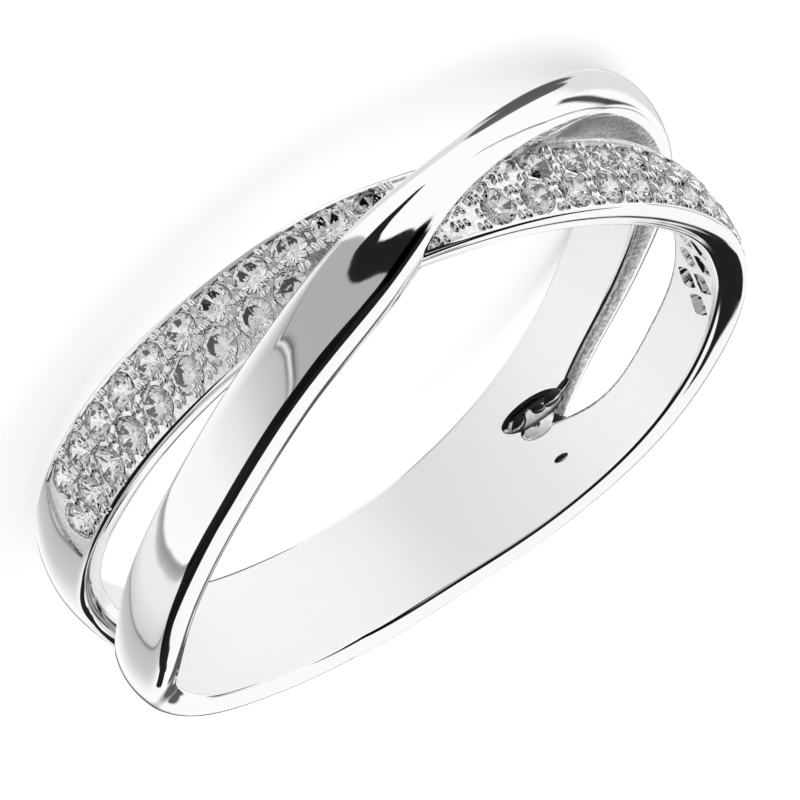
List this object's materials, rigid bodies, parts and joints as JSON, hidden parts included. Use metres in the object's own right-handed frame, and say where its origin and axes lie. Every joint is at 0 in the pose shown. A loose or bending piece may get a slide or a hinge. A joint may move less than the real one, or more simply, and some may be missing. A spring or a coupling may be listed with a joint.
{
  "type": "crossover ring",
  "caption": "White metal crossover ring: a polished domed band crosses over a band set with small round stones, and both join in a plain back.",
  "frame": {"origin": "on the axis of the finger hole, at the middle of the plain back's width", "axes": "+Z along the finger hole's axis, -Y from the axis towards the crossing, +X completes a right-handed frame"},
  "size_m": [0.0194, 0.0202, 0.006],
  "materials": {
    "metal": "high polish white precious metal",
    "stone": "clear, faceted, polished"
  },
  "bodies": {
    "root": {"ring_body": "metal", "stone_left_inner_01": "stone", "stone_left_inner_02": "stone", "stone_left_inner_03": "stone", "stone_left_inner_04": "stone", "stone_left_inner_05": "stone", "stone_left_inner_06": "stone", "stone_left_inner_07": "stone", "stone_left_inner_08": "stone", "stone_left_inner_09": "stone", "stone_left_outer_01": "stone", "stone_left_outer_02": "stone", "stone_left_outer_03": "stone", "stone_left_outer_04": "stone", "stone_left_outer_05": "stone", "stone_left_outer_06": "stone", "stone_left_outer_07": "stone", "stone_left_outer_08": "stone", "stone_left_outer_09": "stone", "stone_left_outer_10": "stone", "stone_left_outer_11": "stone", "stone_right_inner_01": "stone", "stone_right_inner_02": "stone", "stone_right_inner_03": "stone", "stone_right_inner_04": "stone", "stone_right_inner_05": "stone", "stone_right_inner_06": "stone", "stone_right_inner_07": "stone", "stone_right_inner_08": "stone", "stone_right_inner_09": "stone", "stone_right_inner_10": "stone", "stone_right_inner_11": "stone", "stone_right_outer_01": "stone", "stone_right_outer_02": "stone", "stone_right_outer_03": "stone", "stone_right_outer_04": "stone", "stone_right_outer_05": "stone", "stone_right_outer_06": "stone", "stone_right_outer_07": "stone", "stone_right_outer_08": "stone", "stone_right_outer_09": "stone", "stone_right_outer_10": "stone", "stone_right_outer_11": "stone", "stone_right_outer_12": "stone", "stone_right_outer_13": "stone"}
  },
  "joints": []
}
